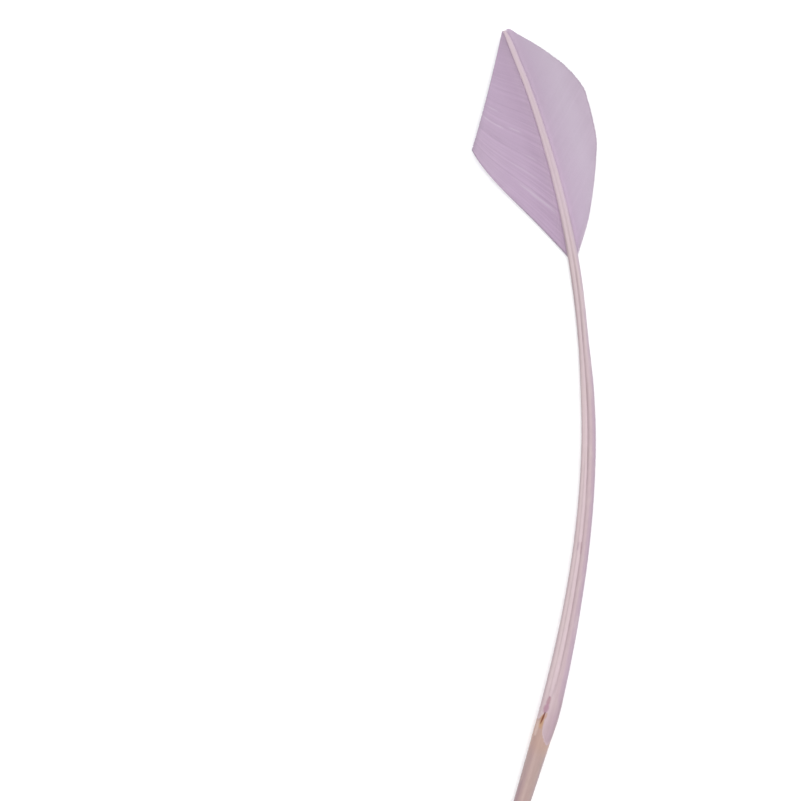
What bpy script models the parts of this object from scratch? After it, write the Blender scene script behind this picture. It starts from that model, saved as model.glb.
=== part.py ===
"""A dyed turkey wing quill, trimmed to an arrowhead, lying on its back.

Metres, +Z up. The feather lies with the smooth side of its shaft on the surface and the
grooved side up, its tip towards +Y and its calamus towards -Y. Every piece is modelled from
the umbilicus, the place on the surface under the point where calamus and rachis meet, and
one empty carries the three of them so that the whole feather is centred on the origin.
"""

from math import cos, pi, radians, sin, sqrt

import bmesh
import bpy
from mathutils import Vector

# Line of the shaft, seen from above: two arcs that meet at the umbilicus
UMBILICUS = (0.0043, -0.0810, 0.0)
HEADING = radians(16.3)  # lean of the shaft towards +X at the umbilicus
RACHIS_LENGTH = 0.2237
RACHIS_RADIUS = 0.3243
CALAMUS_LENGTH = 0.060
CALAMUS_RADIUS = 1.6

# Shaft: place above the umbilicus, width, height as a share of the width, and how far its
# middle strays towards +X from the arcs
SHAFT_STATIONS = (
    (-0.0600, 0.0024, 0.96, 0.0),
    (-0.0450, 0.0043, 0.96, 0.0),
    (-0.0280, 0.0055, 0.95, 0.0),
    (-0.0100, 0.0063, 0.93, 0.0001),
    (0.0000, 0.0069, 0.90, 0.0002),
    (0.0120, 0.0065, 0.88, -0.0002),
    (0.0360, 0.0058, 0.87, -0.0004),
    (0.0600, 0.0053, 0.86, -0.0003),
    (0.0900, 0.0047, 0.86, 0.0),
    (0.1050, 0.0044, 0.86, -0.0002),
    (0.1220, 0.0036, 0.86, -0.0004),
    (0.1480, 0.0034, 0.86, -0.0003),
    (0.1900, 0.0021, 0.84, 0.0),
    (0.2237, 0.0014, 0.80, 0.0),
)
STATION_STEP = 0.006
NOSE_LENGTH = 0.0016  # rounded end of the calamus
NOSE_STEPS = 4
NOSE_END = 0.14  # share of the width left at the very end
ROUND_POWER = 2.0  # a round barrel below the umbilicus
SQUARE_POWER = 2.8  # a rounded square above it
SQUARE_OVER = 0.020  # length that the change from round to square takes
UNDERSIDE_STEPS = 8
UPPER_SIDE_PLACES = (0.93, 0.70, 0.36, 0.20, 0.04, -0.25, -0.60, -0.88)

# Groove on the upper side: its bottom is at one of the places across, between two others
GROOVE_START = 0.004
GROOVE_END = 0.176
GROOVE_MIDDLE = 0.20
GROOVE_DEPTH = 0.0005
GROOVE_FADE = 0.020

# The straight run of the shaft lies on the surface, and both ends lift off it a little
TIP_LIFT_FROM = 0.150
TIP_LIFT = 0.0030
CALAMUS_LIFT_FROM = -0.030
CALAMUS_LIFT = 0.0006

# Vanes: the barbs leave the shaft's sides from here up, just above its smooth side
VANE_BASE = 0.1485
VANE_TOP = 0.2234
BARB_ROOT_HEIGHT = 0.36  # share of the shaft's height
VANE_THICKNESS = 0.0007
SHAFT_GAP = 0.0003
VANE_CUP = 4.8  # both vanes curl up by this times the square of the way out from the shaft
VANE_ROWS = 26
VANE_COLUMNS = 7

# Outer edges from the lowest barb's tip to the feather's tip, and the bow of each run
WIDE_EDGE = ((-0.0244, 0.1808), (-0.0231, 0.1850), (-0.0149, 0.2186))
WIDE_EDGE_BOWS = (0.0, 0.0002)
WIDE_TIP_SPREAD = 1.6  # barbs above the corner crowd towards it
WIDE_BARB_BOW = 0.0012
WIDE_BARB_LEAN = 3
NARROW_EDGE = (
    (0.0129, 0.1591),
    (0.0158, 0.1840),
    (0.0120, 0.2000),
    (0.0017, 0.2109),
    (-0.0112, 0.2195),
)
NARROW_EDGE_BOWS = (0.0005, 0.0003, 0.0010, 0.0)
NARROW_TIP_SPREAD = 0.75
NARROW_BARB_BOW = -0.0006
NARROW_BARB_LEAN = 1


# Colours of the dyed quill, as linear red, green and blue
HORN_COLOUR = (0.66, 0.50, 0.53)
HORN_ROUGHNESS = 0.42
WIDE_COLOUR = (0.52, 0.38, 0.52)
NARROW_COLOUR = (0.58, 0.44, 0.58)
BARB_ROUGHNESS = 0.62
SHARP_ANGLE = radians(40)


def clear_scene():
    for thing in list(bpy.data.objects):
        bpy.data.objects.remove(thing, do_unlink=True)


def material(name, colour, roughness):
    made = bpy.data.materials.new(name)
    made.use_nodes = True
    shader = made.node_tree.nodes["Principled BSDF"]
    shader.inputs["Base Color"].default_value = (*colour, 1.0)
    shader.inputs["Roughness"].default_value = roughness
    shader.inputs["Metallic"].default_value = 0.0
    return made


def finished_object(name, shape, surface, carrier):
    """Object made from a bmesh, shaded smooth, carried by the empty."""
    mesh = bpy.data.meshes.new(name)
    bmesh.ops.recalc_face_normals(shape, faces=shape.faces)
    shape.to_mesh(mesh)
    shape.free()
    mesh.shade_smooth()
    mesh.set_sharp_from_angle(angle=SHARP_ANGLE)
    mesh.materials.append(surface)
    made = bpy.data.objects.new(name, mesh)
    bpy.context.collection.objects.link(made)
    made.parent = carrier
    return made


def arc_centre(radius):
    return radius * Vector((-cos(HEADING), sin(HEADING)))


def axis_point(place):
    """Point of the shaft's line at a place above the umbilicus, and the direction across it."""
    radius = RACHIS_RADIUS if place > 0 else CALAMUS_RADIUS
    heading = HEADING - place / radius
    across = Vector((cos(heading), -sin(heading)))
    return arc_centre(radius) + radius * across, across


def shaft_size(place):
    """Width, height and stray of the shaft, eased between its stations."""
    last = len(SHAFT_STATIONS) - 1
    span = 0
    while span < last - 1 and place > SHAFT_STATIONS[span + 1][0]:
        span += 1
    start, end = SHAFT_STATIONS[span], SHAFT_STATIONS[span + 1]
    before, after = SHAFT_STATIONS[max(span - 1, 0)], SHAFT_STATIONS[min(span + 2, last)]
    length = end[0] - start[0]
    part = (place - start[0]) / length
    values = []
    for column in (1, 2, 3):
        slope_in = (end[column] - before[column]) / (end[0] - before[0])
        slope_out = (after[column] - start[column]) / (after[0] - start[0])
        values.append(
            start[column] * (2 * part**3 - 3 * part**2 + 1)
            + end[column] * (3 * part**2 - 2 * part**3)
            + slope_in * length * (part**3 - 2 * part**2 + part)
            + slope_out * length * (part**3 - part**2)
        )
    width, share, stray = values
    return width, width * share, stray


def floor_height(place):
    """Height of the shaft's smooth side above the surface."""
    tip_part = max(0.0, place - TIP_LIFT_FROM) / (RACHIS_LENGTH - TIP_LIFT_FROM)
    end_part = max(0.0, CALAMUS_LIFT_FROM - place) / (CALAMUS_LENGTH + CALAMUS_LIFT_FROM)
    return TIP_LIFT * tip_part**2 + CALAMUS_LIFT * end_part**2


def clamped(value):
    return max(0.0, min(1.0, value))


def shaft_section(place):
    """Ring of (across, up) points round the shaft, from its left side under and over."""
    width, height, stray = shaft_size(place)
    squareness = clamped(place / SQUARE_OVER + 0.5)
    power = ROUND_POWER + (SQUARE_POWER - ROUND_POWER) * squareness
    groove = GROOVE_DEPTH
    groove *= clamped((place - GROOVE_START) / GROOVE_FADE)
    groove *= clamped((GROOVE_END - place) / GROOVE_FADE)
    from_end = clamped((place + CALAMUS_LENGTH) / NOSE_LENGTH)
    nose = NOSE_END + (1 - NOSE_END) * sqrt(1 - (1 - from_end) ** 2)
    half_width, half_height = nose * width / 2, nose * height / 2
    middle = floor_height(place) + height / 2
    under = [-cos(pi * step / UNDERSIDE_STEPS) for step in range(UNDERSIDE_STEPS + 1)]
    ring = []
    for way, places in ((-1, under), (1, UPPER_SIDE_PLACES)):
        for part in places:
            out = (1 - abs(part) ** power) ** (1 / power)
            sunk = groove if way > 0 and part == GROOVE_MIDDLE else 0.0
            ring.append((stray + half_width * part, middle + way * half_height * out - sunk))
    return ring


def shaft_shape():
    """Rings of the shaft's section along its line, joined and closed at both ends."""
    nose = [
        -CALAMUS_LENGTH + NOSE_LENGTH * (1 - cos(0.5 * pi * step / NOSE_STEPS))
        for step in range(NOSE_STEPS)
    ]
    steps = round((RACHIS_LENGTH + CALAMUS_LENGTH - NOSE_LENGTH) / STATION_STEP)
    run = (RACHIS_LENGTH + CALAMUS_LENGTH - NOSE_LENGTH) / steps
    body = [NOSE_LENGTH - CALAMUS_LENGTH + run * step for step in range(steps + 1)]
    shape = bmesh.new()
    rings = []
    for place in nose + body:
        point, across = axis_point(place)
        ring = []
        for side, up in shaft_section(place):
            spot = point + side * across
            ring.append(shape.verts.new((spot.x, spot.y, up)))
        rings.append(ring)
    for lower, upper in zip(rings, rings[1:]):
        for index, corner in enumerate(lower):
            following = (index + 1) % len(lower)
            shape.faces.new((corner, lower[following], upper[following], upper[index]))
    shape.faces.new(rings[0])
    shape.faces.new(rings[-1])
    return shape


def bowed(start, end, bow, part, lean=1):
    """Point on a line from start to end that stands out by bow to its left.

    A lean of 1 gives an even arc, and a larger one moves its crown towards the end.
    """
    chord = end - start
    outward = Vector((-chord.y, chord.x)).normalized()
    crown = lean**lean / (lean + 1) ** (lean + 1)
    return start.lerp(end, part) + bow * part**lean * (1 - part) / crown * outward


def edge_point(corners, bows, share):
    """Point at a share of the length of a vane's outer edge."""
    points = [Vector(corner) for corner in corners]
    lengths = [(after - before).length for before, after in zip(points, points[1:])]
    left = share * sum(lengths)
    run = 0
    while run < len(lengths) - 1 and left > lengths[run]:
        left -= lengths[run]
        run += 1
    return bowed(points[run], points[run + 1], bows[run], min(1.0, left / lengths[run]))


def vane_shape(side, corners, bows, spread, barb_bow, barb_lean):
    """Middle surface of a vane: each row follows one barb from the shaft to the edge."""
    shape = bmesh.new()
    rows = []
    for step in range(VANE_ROWS + 1):
        share = step / VANE_ROWS
        place = VANE_BASE + (VANE_TOP - VANE_BASE) * share
        width, height, stray = shaft_size(place)
        point, across = axis_point(place)
        root = point + (stray + side * (width / 2 + SHAFT_GAP)) * across
        root_height = floor_height(place) + BARB_ROOT_HEIGHT * height
        tip = edge_point(corners, [-side * bow for bow in bows], share**spread)
        row = []
        for column in range(VANE_COLUMNS + 1):
            part = column / VANE_COLUMNS
            spot = bowed(root, tip, -side * barb_bow * (1 - share), part, barb_lean)
            from_axis = (spot - arc_centre(RACHIS_RADIUS)).length - RACHIS_RADIUS
            rise = VANE_CUP * from_axis**2
            row.append(shape.verts.new((spot.x, spot.y, root_height + rise)))
        rows.append(row)
    for lower, upper in zip(rows, rows[1:]):
        for column in range(VANE_COLUMNS):
            shape.faces.new((lower[column], lower[column + 1], upper[column + 1], upper[column]))
    return shape


def thicken(vane):
    wall = vane.modifiers.new("thickness", "SOLIDIFY")
    wall.thickness = VANE_THICKNESS
    wall.offset = 0.0


def build():
    clear_scene()
    horn = material("stripped_horn", HORN_COLOUR, HORN_ROUGHNESS)
    wide_web = material("wide_vane_barbs", WIDE_COLOUR, BARB_ROUGHNESS)
    narrow_web = material("narrow_vane_barbs", NARROW_COLOUR, BARB_ROUGHNESS)
    feather = bpy.data.objects.new("feather", None)
    bpy.context.collection.objects.link(feather)
    feather.location = UMBILICUS
    finished_object("shaft", shaft_shape(), horn, feather)
    wide = vane_shape(
        -1, WIDE_EDGE, WIDE_EDGE_BOWS, WIDE_TIP_SPREAD, WIDE_BARB_BOW, WIDE_BARB_LEAN
    )
    thicken(finished_object("wide_vane", wide, wide_web, feather))
    narrow = vane_shape(
        1, NARROW_EDGE, NARROW_EDGE_BOWS, NARROW_TIP_SPREAD, NARROW_BARB_BOW, NARROW_BARB_LEAN
    )
    thicken(finished_object("narrow_vane", narrow, narrow_web, feather))


build()
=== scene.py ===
"""The looks of a dyed turkey wing quill, trimmed to an arrowhead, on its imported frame.

Metres, +Z up. The feather lies on the smooth side of its shaft, grooved side up, with its
tip towards +Y. Left and right are as the picture shows them, -X and +X.
"""

from math import cos, exp, pi, radians, sin, sqrt

import bpy
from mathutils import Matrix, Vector, noise


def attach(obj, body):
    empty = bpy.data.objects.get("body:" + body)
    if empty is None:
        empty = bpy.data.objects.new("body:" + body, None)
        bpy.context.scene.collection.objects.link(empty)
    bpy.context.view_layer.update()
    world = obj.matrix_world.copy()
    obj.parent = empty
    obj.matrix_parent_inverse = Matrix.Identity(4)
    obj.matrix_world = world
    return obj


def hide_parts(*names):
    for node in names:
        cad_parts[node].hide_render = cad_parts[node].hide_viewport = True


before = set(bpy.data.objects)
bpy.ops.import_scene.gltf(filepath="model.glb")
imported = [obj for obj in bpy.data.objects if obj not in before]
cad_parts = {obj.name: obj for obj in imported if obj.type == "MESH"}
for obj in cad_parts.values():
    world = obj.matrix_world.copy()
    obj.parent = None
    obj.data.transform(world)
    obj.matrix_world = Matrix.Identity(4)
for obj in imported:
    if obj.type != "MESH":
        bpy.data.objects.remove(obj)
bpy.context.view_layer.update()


# The view and the studio. The camera looks straight down on the surface that the feather
# lies on. A wide soft lamp stands high on the right, and a pale dome lights the rest, so that
# the shadows stay as faint as they are in a picture on white.
PICTURE_SIDE = 801  # pixels
METRES_A_PIXEL = 0.00032
ORIGIN_PIXEL = (534.25, 462.0)  # the feather's own origin, from the picture's top left
LENS = 150.0
SENSOR = 36.0
TRUE_SCALE_HEIGHT = 0.0025  # what lies this high has the picture's scale
DOME_STRENGTH = 1.42
KEY_STRENGTH = 0.42
KEY_TILT = radians(30)  # from straight above
KEY_TURN = radians(35)  # from +X towards +Y
KEY_SPREAD = radians(60)
FLOOR_SIDE = 6.0
FLOOR_WHITE = 0.96


def in_scene(name, data):
    made = bpy.data.objects.new(name, data)
    bpy.context.scene.collection.objects.link(made)
    return made


camera = in_scene("camera", bpy.data.cameras.new("camera"))
camera.data.lens = LENS
camera.data.sensor_width = SENSOR
camera.data.clip_start = 0.01
camera.data.clip_end = 10.0
camera.location = (
    (PICTURE_SIDE / 2 - ORIGIN_PIXEL[0]) * METRES_A_PIXEL,
    (ORIGIN_PIXEL[1] - PICTURE_SIDE / 2) * METRES_A_PIXEL,
    TRUE_SCALE_HEIGHT + LENS / SENSOR * PICTURE_SIDE * METRES_A_PIXEL,
)
bpy.context.scene.camera = camera
bpy.context.scene.view_settings.view_transform = "Standard"

key = in_scene("key", bpy.data.lights.new("key", "SUN"))
key.data.energy = KEY_STRENGTH
key.data.angle = KEY_SPREAD
key.data.color = (1.0, 0.985, 0.97)
key_from = Vector(
    (sin(KEY_TILT) * cos(KEY_TURN), sin(KEY_TILT) * sin(KEY_TURN), cos(KEY_TILT))
)
key.rotation_euler = key_from.to_track_quat("Z", "Y").to_euler()

dome = bpy.data.worlds.new("dome")
dome.use_nodes = True
dome.node_tree.nodes["Background"].inputs["Color"].default_value = (0.985, 0.99, 1.0, 1.0)
dome.node_tree.nodes["Background"].inputs["Strength"].default_value = DOME_STRENGTH
bpy.context.scene.world = dome
studio_gain = DOME_STRENGTH + KEY_STRENGTH * cos(KEY_TILT) / pi


def node(tree, kind, inputs=None, **settings):
    """Adds a node, with its settings and with values or sockets for its inputs."""
    made = tree.nodes.new(kind)
    for name, value in settings.items():
        setattr(made, name, value)
    for place, value in (inputs or {}).items():
        if isinstance(value, bpy.types.NodeSocket):
            tree.links.new(value, made.inputs[place])
        else:
            made.inputs[place].default_value = value
    return made


def new_material(name, settings):
    """A material with these settings on its shader, and its nodes and the shader."""
    made = bpy.data.materials.new(name)
    made.use_nodes = True
    shader = made.node_tree.nodes["Principled BSDF"]
    for setting, value in settings.items():
        shader.inputs[setting].default_value = value
    return made, made.node_tree, shader


def speckle(tree, scale):
    """Noise, 0 to 1, over a piece's own coordinates."""
    spot = node(tree, "ShaderNodeTexCoord").outputs["Object"]
    inputs = {"Vector": spot, "Scale": scale, "Detail": 3.0}
    return node(tree, "ShaderNodeTexNoise", inputs).outputs["Fac"]


paper, paper_nodes, paper_shader = new_material(
    "white_paper", {"Roughness": 0.9, "Specular IOR Level": 0.1}
)
paper_range = {"To Min": FLOOR_WHITE - 0.01, "To Max": FLOOR_WHITE}
paper_tone = node(
    paper_nodes, "ShaderNodeMapRange", {"Value": speckle(paper_nodes, 6.7), **paper_range}
)
paper_nodes.links.new(paper_tone.outputs["Result"], paper_shader.inputs["Base Color"])
floor_mesh = bpy.data.meshes.new("floor")
half = FLOOR_SIDE / 2
floor_mesh.from_pydata(
    [(-half, -half, 0.0), (half, -half, 0.0), (half, half, 0.0), (-half, half, 0.0)],
    [],
    [(0, 1, 2, 3)],
)
floor_mesh.materials.append(paper)
floor = in_scene("floor", floor_mesh)


# Shaft. One grown piece of horn: a round bare calamus that the dye hardly took to, and a
# squarer dyed rachis with a groove up its middle. They meet at a brown slit under a purple
# mark. The barbs stripped from its sides left a channel. It replaces the plain CAD sweep.
UMBILICUS = Vector((0.0043, -0.0810))
HEADING = radians(16.3)  # lean of the shaft towards +X at the umbilicus
RACHIS_LENGTH = 0.2240
RACHIS_RADIUS = 0.3243
CALAMUS_LENGTH = 0.060
CALAMUS_RADIUS = 1.6
SHAFT_STATIONS = (  # place above the umbilicus, width, height share, stray towards +X
    (-0.0600, 0.0024, 0.96, 0.0), (-0.0450, 0.0043, 0.96, 0.0),
    (-0.0280, 0.0053, 0.95, 0.0001), (-0.0100, 0.0061, 0.93, 0.0001),
    (0.0000, 0.0067, 0.90, 0.0002), (0.0120, 0.0064, 0.88, -0.0001),
    (0.0360, 0.0056, 0.87, -0.0003), (0.0600, 0.0051, 0.86, -0.0001),
    (0.0900, 0.0046, 0.86, 0.0001), (0.1050, 0.0043, 0.86, -0.0001),
    (0.1220, 0.0034, 0.86, -0.0003), (0.1460, 0.0034, 0.86, -0.0001),
    (0.1700, 0.0027, 0.85, -0.0001), (0.1900, 0.0022, 0.84, -0.0002),
    (0.2050, 0.0019, 0.83, -0.0002), (0.2140, 0.0018, 0.82, -0.0004),
    (0.2200, 0.0016, 0.81, -0.0004), (0.2240, 0.0009, 0.90, -0.0006),
)
NOSE_LENGTH = 0.0016
NOSE_STEPS = 8
NOSE_END = 0.14
ROUND_POWER = 2.0
SQUARE_POWER = 2.8
SQUARE_OVER = 0.020
TIP_LIFT_FROM = 0.150
TIP_LIFT = 0.0030
CALAMUS_LIFT_FROM = -0.030
CALAMUS_LIFT = 0.0006
VANE_BASE = 0.1485
VANE_TOP = 0.2234
BARB_ROOT_HEIGHT = 0.36  # share of the shaft's height

ROUND_POINTS = 152
RING_STEP = 0.0012
FINE_RING_STEP = 0.00020
FINE_RINGS = (-0.0125, 0.0105)  # from and to, round the umbilicus
GROOVE_LINE = (  # place, place across from -1 left to 1 right, depth
    (0.0035, -0.34, 0.00004), (0.0065, -0.20, 0.00012),
    (0.0100, -0.08, 0.00024), (0.0150, -0.05, 0.00025),
    (0.0300, 0.00, 0.00026), (0.0600, -0.03, 0.00028),
    (0.0760, -0.09, 0.00030), (0.0900, -0.14, 0.00035),
    (0.1050, -0.13, 0.00034), (0.1180, -0.14, 0.00030),
    (0.1300, -0.06, 0.00032), (0.1480, -0.04, 0.00025),
    (0.1620, -0.07, 0.00013), (0.1780, -0.15, 0.00009),
    (0.1980, -0.15, 0.00006), (0.2140, -0.10, 0.0),
)
GROOVE_FULL = 0.00036
GROOVE_REACHES = (0.00016, 0.00038)  # to the left and to the right of its line
# Reaches of the painted shade in the groove, to its left and to its right
GROOVE_SHADES = (0.00014, 0.00046)
LIP_HEIGHT = 0.00007
LIP_OUT = 0.00080
LIP_REACH = 0.00045
# A crease left of the groove, cut in, and painted darker in it as painted shade
CREASE_ACROSS = -0.52
CREASE_REACH = 0.00014
CREASE_DEPTH = 0.00010
CREASE_SPAN = (0.003, 0.088)
SLIT = ((-0.00142, 0.0008), (-0.00188, -0.0029))  # across and place of both its ends
SLIT_DEPTH = 0.00038
SLIT_REACH = 0.00028
MARK = ((-0.00134, 0.0035), (-0.00160, 0.0011))
MARK_DEPTH = 0.00010
MARK_REACH = 0.00060
CHANNEL_UP = -0.28  # from -1 under to 1 over, where the barbs were rooted
CHANNEL_REACH = 0.16
CHANNEL_DEPTH = 0.00007
CHANNEL_SPAN = (0.003, 0.1500)
FLUTE_DEPTH = 0.00002
FLUTE_FINENESS = (7, 40)  # round the shaft and along it
FADE = 0.004  # length over which the groove or the channel begins and ends
CREASE_FADE = 0.006
SHARP_ANGLE = radians(50)
CHART_COLUMNS = 4  # the shaft's flat chart is folded into this many strips


def clamped(value):
    return max(0.0, min(1.0, value))


def fading(place, span, length):
    """1 inside a span of places and 0 outside, eased over a length at both its ends."""
    part = clamped((place - span[0]) / length) * clamped((span[1] - place) / length)
    return part * part * (3 - 2 * part)


def bell(distance, reach):
    return exp(-((distance / reach) ** 2))


def eased(stations, place):
    """The values at a place, eased between rows that each start with their place."""
    last = len(stations) - 1
    span = 0
    while span < last - 1 and place > stations[span + 1][0]:
        span += 1
    start, end = stations[span], stations[span + 1]
    before, after = stations[max(span - 1, 0)], stations[min(span + 2, last)]
    length = end[0] - start[0]
    part = clamped((place - start[0]) / length)
    values = []
    for column in range(1, len(start)):
        slope_in = (end[column] - before[column]) / (end[0] - before[0])
        slope_out = (after[column] - start[column]) / (after[0] - start[0])
        values.append(
            start[column] * (2 * part**3 - 3 * part**2 + 1)
            + end[column] * (3 * part**2 - 2 * part**3)
            + slope_in * length * (part**3 - 2 * part**2 + part)
            + slope_out * length * (part**3 - part**2)
        )
    return values


def shaft_size(place):
    """Width, height and stray of the shaft."""
    width, share, stray = eased(SHAFT_STATIONS, place)
    return width, width * share, stray


def arc_middle(radius):
    return UMBILICUS + radius * Vector((-cos(HEADING), sin(HEADING)))


def axis_point(place):
    """Point of the shaft's line at a place, and the direction across it, to the right."""
    radius = RACHIS_RADIUS if place > 0 else CALAMUS_RADIUS
    heading = HEADING - place / radius
    across = Vector((cos(heading), -sin(heading)))
    return arc_middle(radius) + radius * across, across


def floor_height(place):
    """Height of the shaft's smooth side above the surface."""
    tip_part = max(0.0, place - TIP_LIFT_FROM) / (RACHIS_LENGTH - TIP_LIFT_FROM)
    end_part = max(0.0, CALAMUS_LIFT_FROM - place) / (CALAMUS_LENGTH + CALAMUS_LIFT_FROM)
    return TIP_LIFT * tip_part**2 + CALAMUS_LIFT * end_part**2


def distance_to(line, across, place):
    """Distance on the shaft's surface from a short straight line, such as the slit."""
    start, end = Vector(line[0]), Vector(line[1])
    spot = Vector((across, place))
    along = clamped((spot - start).dot(end - start) / (end - start).length_squared)
    return (spot - start.lerp(end, along)).length


def carved(share, side, place, up):
    """How far the upper side is cut in at a point, and the painted shade there, in the groove
    and the crease.
    """
    groove_across, groove_depth = eased(GROOVE_LINE, place)
    groove_depth *= fading(place, (GROOVE_LINE[0][0], GROOVE_LINE[-1][0]), FADE)
    half_width = side / share if abs(share) > 0.01 else 0.002
    from_groove = side - groove_across * half_width
    groove = bell(from_groove, GROOVE_REACHES[from_groove > 0]) * groove_depth
    lips = bell(abs(from_groove) - LIP_OUT, LIP_REACH) * LIP_HEIGHT
    lips *= groove_depth / GROOVE_FULL
    crease = bell(side - CREASE_ACROSS * half_width, CREASE_REACH) * CREASE_DEPTH
    crease *= fading(place, CREASE_SPAN, CREASE_FADE)
    slit = bell(distance_to(SLIT, side, place), SLIT_REACH) * SLIT_DEPTH
    mark = bell(distance_to(MARK, side, place), MARK_REACH) * MARK_DEPTH
    upper = clamped(up * 4)
    depth = upper * (groove - lips + crease + slit + mark)
    # Painted shade: the groove and the crease are painted darker where shade falls in them
    shade = bell(from_groove, GROOVE_SHADES[from_groove > 0]) * groove_depth
    painted_shade = upper * (shade / GROOVE_FULL + 0.6 * crease / CREASE_DEPTH)
    return depth, painted_shade


def evenly(low, high, steps):
    """Values in equal steps from low to high, with both ends."""
    return [low + (high - low) * step / steps for step in range(steps + 1)]


def ring_places():
    """Places of the shaft's rings: close together round the umbilicus and at the nose."""
    places = [
        NOSE_LENGTH * (1 - cos(0.5 * pi * step / NOSE_STEPS)) - CALAMUS_LENGTH
        for step in range(NOSE_STEPS)
    ]
    marks = (NOSE_LENGTH - CALAMUS_LENGTH, *FINE_RINGS, RACHIS_LENGTH)
    for start, end, step in zip(marks, marks[1:], (RING_STEP, FINE_RING_STEP, RING_STEP)):
        places += evenly(start, end, round((end - start) / step))[:-1]
    return places + [RACHIS_LENGTH]


def shaft_ring(place):
    """Points round the shaft with, for each, its place across, up and its painted shade."""
    width, height, stray = shaft_size(place)
    squareness = clamped(place / SQUARE_OVER + 0.5)
    power = ROUND_POWER + (SQUARE_POWER - ROUND_POWER) * squareness
    from_end = clamped((place + CALAMUS_LENGTH) / NOSE_LENGTH)
    nose = NOSE_END + (1 - NOSE_END) * sqrt(1 - (1 - from_end) ** 2)
    half_width, half_height = nose * width / 2, nose * height / 2
    middle = floor_height(place) + height / 2
    spot, across = axis_point(place)
    channel = CHANNEL_DEPTH * fading(place, CHANNEL_SPAN, FADE)
    turns, runs = FLUTE_FINENESS
    ring = []
    for index in range(ROUND_POINTS):
        angle = 2 * pi * index / ROUND_POINTS
        share = abs(cos(angle)) ** (2 / power) * (1 if cos(angle) > 0 else -1)
        up = abs(sin(angle)) ** (2 / power) * (1 if sin(angle) > 0 else -1)
        flutes = Vector((share * turns, up * turns, place * runs))
        flute = FLUTE_DEPTH * noise.noise(flutes)
        flute -= channel * bell(up - CHANNEL_UP, CHANNEL_REACH)
        side = half_width * share
        depth, painted_shade = carved(share, side, place, up)
        side += flute * share
        height_here = middle + half_height * up - depth + flute * max(0.0, up)
        point = spot + (stray + side) * across
        ring.append(((point.x, point.y, height_here), share, up, painted_shade))
    return ring


def closed_skin(rings, around):
    """Faces that join rings of points to a skin, with a cap first and another last."""
    faces = [list(range(around))]
    for low in range(0, (rings - 1) * around, around):
        high = low + around
        for index in range(around):
            following = (index + 1) % around
            faces.append((low + following, low + index, high + index, high + following))
    faces.append([(rings - 1) * around + index for index in range(around)][::-1])
    return faces


def shaft_mesh():
    """The rings joined to a skin and closed, with the values that its horn is painted by."""
    places = ring_places()
    rows = [row for place in places for row in shaft_ring(place)]
    chart = [(0.002, 0.002)] * ROUND_POINTS
    strip = (RACHIS_LENGTH + CALAMUS_LENGTH) / CHART_COLUMNS
    for low, high in zip(places, places[1:]):
        column = int((low + CALAMUS_LENGTH) / strip)
        under, over = (
            0.02 + 0.95 * ((place + CALAMUS_LENGTH) / strip - column) for place in (low, high)
        )
        for index in range(ROUND_POINTS):
            left, right = (
                (column + 0.98 - 0.96 * step / ROUND_POINTS) / CHART_COLUMNS
                for step in (index + 1, index)
            )
            chart += [(left, under), (right, under), (right, over), (left, over)]
    chart += [(0.998, 0.998)] * ROUND_POINTS
    mesh = bpy.data.meshes.new("quill_shaft")
    mesh.from_pydata([row[0] for row in rows], [], closed_skin(len(places), ROUND_POINTS))
    mesh.uv_layers.new(name="OFBake", do_init=False)
    mesh.uv_layers["OFBake"].uv.foreach_set(
        "vector", [value for corner in chart for value in corner]
    )
    for name, values in (
        ("across", [row[1] for row in rows]),
        ("up", [row[2] for row in rows]),
        ("painted_groove_shade", [row[3] for row in rows]),
        ("place_mm", [1000 * place for place in places for _ in range(ROUND_POINTS)]),
    ):
        mesh.attributes.new(name, "FLOAT", "POINT").data.foreach_set("value", values)
    mesh.shade_smooth()
    mesh.set_sharp_from_angle(angle=SHARP_ANGLE)
    return mesh


def paint(red, green, blue):
    """Surface colour that the studio's light shows as this screen colour, 0 to 255."""
    parts = []
    for value in (red / 255, green / 255, blue / 255):
        bright = value / 12.92 if value <= 0.04045 else ((value + 0.055) / 1.055) ** 2.4
        parts.append(bright / studio_gain)
    return (*parts, 1.0)


def maths(tree, operation, *values, clamp=False):
    made = node(tree, "ShaderNodeMath", dict(enumerate(values)), operation=operation)
    made.use_clamp = clamp
    return made.outputs[0]


def linear(tree, value, times, plus):
    return maths(tree, "MULTIPLY_ADD", value, times, plus)


def product(tree, value, *others):
    for other in others:
        value = maths(tree, "MULTIPLY", value, other)
    return value


def vectors(tree, operation, *values):
    made = node(tree, "ShaderNodeVectorMath", dict(enumerate(values)), operation=operation)
    gives_number = operation in ("LENGTH", "DISTANCE", "DOT_PRODUCT")
    return made.outputs["Value" if gives_number else "Vector"]


def joined(tree, *values):
    return node(tree, "ShaderNodeCombineXYZ", dict(enumerate(values))).outputs[0]


def scaled(tree, vector, size):
    made = node(tree, "ShaderNodeVectorMath", {0: vector, "Scale": size}, operation="SCALE")
    return made.outputs["Vector"]


def blended(tree, share, below, above):
    """Mix of two colours."""
    made = node(tree, "ShaderNodeMix", {0: share, 6: below, 7: above}, data_type="RGBA")
    return made.outputs[2]


def ramp(tree, value, stops):
    """Colour that changes with a value from 0 to 1, eased between screen colours."""
    made = node(tree, "ShaderNodeValToRGB", {0: value})
    made.color_ramp.interpolation = "EASE"
    points = made.color_ramp.elements
    while len(points) < len(stops):
        points.new(1.0)
    for point, (place, *colour) in zip(points, stops):
        point.position = place
        point.color = paint(*colour)
    return made.outputs["Color"]


def attribute(tree, name):
    return node(tree, "ShaderNodeAttribute", attribute_name=name).outputs["Fac"]


def grain(tree, parts, fineness, detail=3.0):
    """Noise, 0 to 1, over a point put together from three values, each made finer."""
    finer = [product(tree, value, times) for value, times in zip(parts, fineness)]
    inputs = {
        "Vector": joined(tree, *finer), "Scale": 1.0, "Detail": detail, "Roughness": 0.55,
    }
    return node(tree, "ShaderNodeTexNoise", inputs).outputs["Fac"]


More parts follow.
